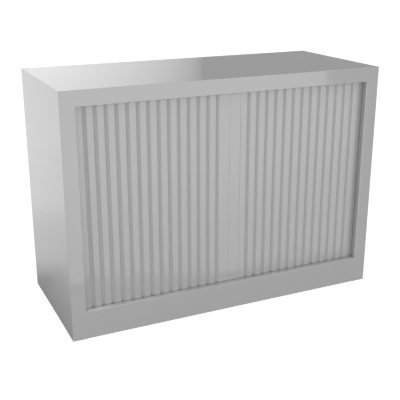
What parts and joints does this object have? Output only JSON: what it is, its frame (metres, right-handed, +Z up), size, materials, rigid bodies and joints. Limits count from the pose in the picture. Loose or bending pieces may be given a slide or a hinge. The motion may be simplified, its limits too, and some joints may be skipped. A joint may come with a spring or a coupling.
{
  "type": "tambour cabinet",
  "caption": "Low steel storage cabinet with two side-opening tambour doors of upright slats, an inner shelf and levelling feet.",
  "frame": {"origin": "on the floor under the middle of the carcass", "axes": "+X to the right along the front, +Y from the front to the back, +Z up"},
  "size_m": [1, 0.43, 0.71],
  "materials": {
    "carcass_paint": "light grey satin powder coat",
    "inner_paint": "light grey satin powder coat",
    "door_edge_paint": "light grey satin powder coat",
    "tambour_plastic": "light grey satin extruded plastic",
    "track_plastic": "natural low-friction plastic",
    "zinc_steel": "bright zinc plate",
    "stop_rubber": "soft black rubber"
  },
  "bodies": {
    "carcass": {"left_side_panel": "carcass_paint", "right_side_panel": "carcass_paint", "top_panel": "carcass_paint", "plinth": "carcass_paint", "back_panel": "carcass_paint", "base_panel": "inner_paint", "ceiling_panel": "inner_paint", "left_liner": "inner_paint", "right_liner": "inner_paint", "bottom_front_track": "track_plastic", "top_front_track": "track_plastic", "left_bottom_side_track": "track_plastic", "right_bottom_side_track": "track_plastic", "left_top_side_track": "track_plastic", "right_top_side_track": "track_plastic", "track_screws": "zinc_steel", "curtain_stops": "stop_rubber", "shelf": "inner_paint", "shelf_clips": "zinc_steel", "foot_nuts": "zinc_steel"},
    "left_door": {"left_leading_edge": "door_edge_paint", "left_door_glides": "track_plastic"},
    "right_door": {"right_leading_edge": "door_edge_paint", "right_door_glides": "track_plastic"},
    "left_slat_01": {"left_slat_01": "tambour_plastic"},
    "left_slat_02": {"left_slat_02": "tambour_plastic"},
    "left_slat_03": {"left_slat_03": "tambour_plastic"},
    "left_slat_04": {"left_slat_04": "tambour_plastic"},
    "left_slat_05": {"left_slat_05": "tambour_plastic"},
    "left_slat_06": {"left_slat_06": "tambour_plastic"},
    "left_slat_07": {"left_slat_07": "tambour_plastic"},
    "left_slat_08": {"left_slat_08": "tambour_plastic"},
    "left_slat_09": {"left_slat_09": "tambour_plastic"},
    "left_slat_10": {"left_slat_10": "tambour_plastic"},
    "left_slat_11": {"left_slat_11": "tambour_plastic"},
    "left_slat_12": {"left_slat_12": "tambour_plastic"},
    "left_slat_13": {"left_slat_13": "tambour_plastic"},
    "left_slat_14": {"left_slat_14": "tambour_plastic"},
    "left_slat_15": {"left_slat_15": "tambour_plastic"},
    "right_slat_01": {"right_slat_01": "tambour_plastic"},
    "right_slat_02": {"right_slat_02": "tambour_plastic"},
    "right_slat_03": {"right_slat_03": "tambour_plastic"},
    "right_slat_04": {"right_slat_04": "tambour_plastic"},
    "right_slat_05": {"right_slat_05": "tambour_plastic"},
    "right_slat_06": {"right_slat_06": "tambour_plastic"},
    "right_slat_07": {"right_slat_07": "tambour_plastic"},
    "right_slat_08": {"right_slat_08": "tambour_plastic"},
    "right_slat_09": {"right_slat_09": "tambour_plastic"},
    "right_slat_10": {"right_slat_10": "tambour_plastic"},
    "right_slat_11": {"right_slat_11": "tambour_plastic"},
    "right_slat_12": {"right_slat_12": "tambour_plastic"},
    "right_slat_13": {"right_slat_13": "tambour_plastic"},
    "right_slat_14": {"right_slat_14": "tambour_plastic"},
    "right_slat_15": {"right_slat_15": "tambour_plastic"},
    "front_left_foot": {"front_left_foot": "zinc_steel"},
    "front_right_foot": {"front_right_foot": "zinc_steel"},
    "rear_left_foot": {"rear_left_foot": "zinc_steel"},
    "rear_right_foot": {"rear_right_foot": "zinc_steel"}
  },
  "joints": [
    {"name": "left_door_slide", "type": "slide", "parent": "carcass", "child": "left_door", "axis": [-1, 0, 0], "range_m": [0, 0.37]},
    {"name": "right_door_slide", "type": "slide", "parent": "carcass", "child": "right_door", "axis": [1, 0, 0], "range_m": [0, 0.37]},
    {"name": "left_slat_01_slide", "type": "slide", "parent": "carcass", "child": "left_slat_01", "axis": [-1, 0, 0], "range_m": [0, 0.37], "deforming": ["left_slat_01"]},
    {"name": "left_slat_02_slide", "type": "slide", "parent": "carcass", "child": "left_slat_02", "axis": [-1, 0, 0], "range_m": [0, 0.37], "deforming": ["left_slat_02"]},
    {"name": "left_slat_03_slide", "type": "slide", "parent": "carcass", "child": "left_slat_03", "axis": [-1, 0, 0], "range_m": [0, 0.36695], "deforming": ["left_slat_03"]},
    {"name": "left_slat_04_slide", "type": "slide", "parent": "carcass", "child": "left_slat_04", "axis": [-1, 0, 0], "range_m": [0, 0.33735], "deforming": ["left_slat_04"]},
    {"name": "left_slat_05_slide", "type": "slide", "parent": "carcass", "child": "left_slat_05", "axis": [-1, 0, 0], "range_m": [0, 0.30775], "deforming": ["left_slat_05"]},
    {"name": "left_slat_06_slide", "type": "slide", "parent": "carcass", "child": "left_slat_06", "axis": [-1, 0, 0], "range_m": [0, 0.27815], "deforming": ["left_slat_06"]},
    {"name": "left_slat_07_slide", "type": "slide", "parent": "carcass", "child": "left_slat_07", "axis": [-1, 0, 0], "range_m": [0, 0.24855], "deforming": ["left_slat_07"]},
    {"name": "left_slat_08_slide", "type": "slide", "parent": "carcass", "child": "left_slat_08", "axis": [-1, 0, 0], "range_m": [0, 0.21895], "deforming": ["left_slat_08"]},
    {"name": "left_slat_09_slide", "type": "slide", "parent": "carcass", "child": "left_slat_09", "axis": [-1, 0, 0], "range_m": [0, 0.18935], "deforming": ["left_slat_09"]},
    {"name": "left_slat_10_slide", "type": "slide", "parent": "carcass", "child": "left_slat_10", "axis": [-1, 0, 0], "range_m": [0, 0.15975], "deforming": ["left_slat_10"]},
    {"name": "left_slat_11_slide", "type": "slide", "parent": "carcass", "child": "left_slat_11", "axis": [-1, 0, 0], "range_m": [0, 0.13015], "deforming": ["left_slat_11"]},
    {"name": "left_slat_12_slide", "type": "slide", "parent": "carcass", "child": "left_slat_12", "axis": [-1, 0, 0], "range_m": [0, 0.10055], "deforming": ["left_slat_12"]},
    {"name": "left_slat_13_slide", "type": "slide", "parent": "carcass", "child": "left_slat_13", "axis": [-1, 0, 0], "range_m": [0, 0.07095], "deforming": ["left_slat_13"]},
    {"name": "left_slat_14_slide", "type": "slide", "parent": "carcass", "child": "left_slat_14", "axis": [-1, 0, 0], "range_m": [0, 0.04135], "deforming": ["left_slat_14"]},
    {"name": "left_slat_15_slide", "type": "slide", "parent": "carcass", "child": "left_slat_15", "axis": [-1, 0, 0], "range_m": [0, 0.008], "deforming": ["left_slat_15"]},
    {"name": "right_slat_01_slide", "type": "slide", "parent": "carcass", "child": "right_slat_01", "axis": [1, 0, 0], "range_m": [0, 0.37], "deforming": ["right_slat_01"]},
    {"name": "right_slat_02_slide", "type": "slide", "parent": "carcass", "child": "right_slat_02", "axis": [1, 0, 0], "range_m": [0, 0.37], "deforming": ["right_slat_02"]},
    {"name": "right_slat_03_slide", "type": "slide", "parent": "carcass", "child": "right_slat_03", "axis": [1, 0, 0], "range_m": [0, 0.36435], "deforming": ["right_slat_03"]},
    {"name": "right_slat_04_slide", "type": "slide", "parent": "carcass", "child": "right_slat_04", "axis": [1, 0, 0], "range_m": [0, 0.33475], "deforming": ["right_slat_04"]},
    {"name": "right_slat_05_slide", "type": "slide", "parent": "carcass", "child": "right_slat_05", "axis": [1, 0, 0], "range_m": [0, 0.30515], "deforming": ["right_slat_05"]},
    {"name": "right_slat_06_slide", "type": "slide", "parent": "carcass", "child": "right_slat_06", "axis": [1, 0, 0], "range_m": [0, 0.27555], "deforming": ["right_slat_06"]},
    {"name": "right_slat_07_slide", "type": "slide", "parent": "carcass", "child": "right_slat_07", "axis": [1, 0, 0], "range_m": [0, 0.24595], "deforming": ["right_slat_07"]},
    {"name": "right_slat_08_slide", "type": "slide", "parent": "carcass", "child": "right_slat_08", "axis": [1, 0, 0], "range_m": [0, 0.21635], "deforming": ["right_slat_08"]},
    {"name": "right_slat_09_slide", "type": "slide", "parent": "carcass", "child": "right_slat_09", "axis": [1, 0, 0], "range_m": [0, 0.18675], "deforming": ["right_slat_09"]},
    {"name": "right_slat_10_slide", "type": "slide", "parent": "carcass", "child": "right_slat_10", "axis": [1, 0, 0], "range_m": [0, 0.15715], "deforming": ["right_slat_10"]},
    {"name": "right_slat_11_slide", "type": "slide", "parent": "carcass", "child": "right_slat_11", "axis": [1, 0, 0], "range_m": [0, 0.12755], "deforming": ["right_slat_11"]},
    {"name": "right_slat_12_slide", "type": "slide", "parent": "carcass", "child": "right_slat_12", "axis": [1, 0, 0], "range_m": [0, 0.09795], "deforming": ["right_slat_12"]},
    {"name": "right_slat_13_slide", "type": "slide", "parent": "carcass", "child": "right_slat_13", "axis": [1, 0, 0], "range_m": [0, 0.06835], "deforming": ["right_slat_13"]},
    {"name": "right_slat_14_slide", "type": "slide", "parent": "carcass", "child": "right_slat_14", "axis": [1, 0, 0], "range_m": [0, 0.03875], "deforming": ["right_slat_14"]},
    {"name": "right_slat_15_slide", "type": "slide", "parent": "carcass", "child": "right_slat_15", "axis": [1, 0, 0], "range_m": [0, 0.008], "deforming": ["right_slat_15"]},
    {"name": "front_left_foot_screw", "type": "slide", "parent": "carcass", "child": "front_left_foot", "axis": [0, 0, -1], "range_m": [0, 0.012]},
    {"name": "front_right_foot_screw", "type": "slide", "parent": "carcass", "child": "front_right_foot", "axis": [0, 0, -1], "range_m": [0, 0.012]},
    {"name": "rear_left_foot_screw", "type": "slide", "parent": "carcass", "child": "rear_left_foot", "axis": [0, 0, -1], "range_m": [0, 0.012]},
    {"name": "rear_right_foot_screw", "type": "slide", "parent": "carcass", "child": "rear_right_foot", "axis": [0, 0, -1], "range_m": [0, 0.012]}
  ],
  "couplings": [
    {"joint": "left_slat_01_slide", "follows": "left_door_slide", "ratio": 1},
    {"joint": "left_slat_02_slide", "follows": "left_door_slide", "ratio": 1},
    {"joint": "left_slat_03_slide", "follows": "left_door_slide", "ratio": 0.99176},
    {"joint": "left_slat_04_slide", "follows": "left_door_slide", "ratio": 0.91176},
    {"joint": "left_slat_05_slide", "follows": "left_door_slide", "ratio": 0.83176},
    {"joint": "left_slat_06_slide", "follows": "left_door_slide", "ratio": 0.75176},
    {"joint": "left_slat_07_slide", "follows": "left_door_slide", "ratio": 0.67176},
    {"joint": "left_slat_08_slide", "follows": "left_door_slide", "ratio": 0.59176},
    {"joint": "left_slat_09_slide", "follows": "left_door_slide", "ratio": 0.51176},
    {"joint": "left_slat_10_slide", "follows": "left_door_slide", "ratio": 0.43176},
    {"joint": "left_slat_11_slide", "follows": "left_door_slide", "ratio": 0.35176},
    {"joint": "left_slat_12_slide", "follows": "left_door_slide", "ratio": 0.27176},
    {"joint": "left_slat_13_slide", "follows": "left_door_slide", "ratio": 0.19176},
    {"joint": "left_slat_14_slide", "follows": "left_door_slide", "ratio": 0.11176},
    {"joint": "left_slat_15_slide", "follows": "left_door_slide", "ratio": 0.021622},
    {"joint": "right_slat_01_slide", "follows": "right_door_slide", "ratio": 1},
    {"joint": "right_slat_02_slide", "follows": "right_door_slide", "ratio": 1},
    {"joint": "right_slat_03_slide", "follows": "right_door_slide", "ratio": 0.98473},
    {"joint": "right_slat_04_slide", "follows": "right_door_slide", "ratio": 0.90473},
    {"joint": "right_slat_05_slide", "follows": "right_door_slide", "ratio": 0.82473},
    {"joint": "right_slat_06_slide", "follows": "right_door_slide", "ratio": 0.74473},
    {"joint": "right_slat_07_slide", "follows": "right_door_slide", "ratio": 0.66473},
    {"joint": "right_slat_08_slide", "follows": "right_door_slide", "ratio": 0.58473},
    {"joint": "right_slat_09_slide", "follows": "right_door_slide", "ratio": 0.50473},
    {"joint": "right_slat_10_slide", "follows": "right_door_slide", "ratio": 0.42473},
    {"joint": "right_slat_11_slide", "follows": "right_door_slide", "ratio": 0.34473},
    {"joint": "right_slat_12_slide", "follows": "right_door_slide", "ratio": 0.26473},
    {"joint": "right_slat_13_slide", "follows": "right_door_slide", "ratio": 0.18473},
    {"joint": "right_slat_14_slide", "follows": "right_door_slide", "ratio": 0.10473},
    {"joint": "right_slat_15_slide", "follows": "right_door_slide", "ratio": 0.021622}
  ]
}
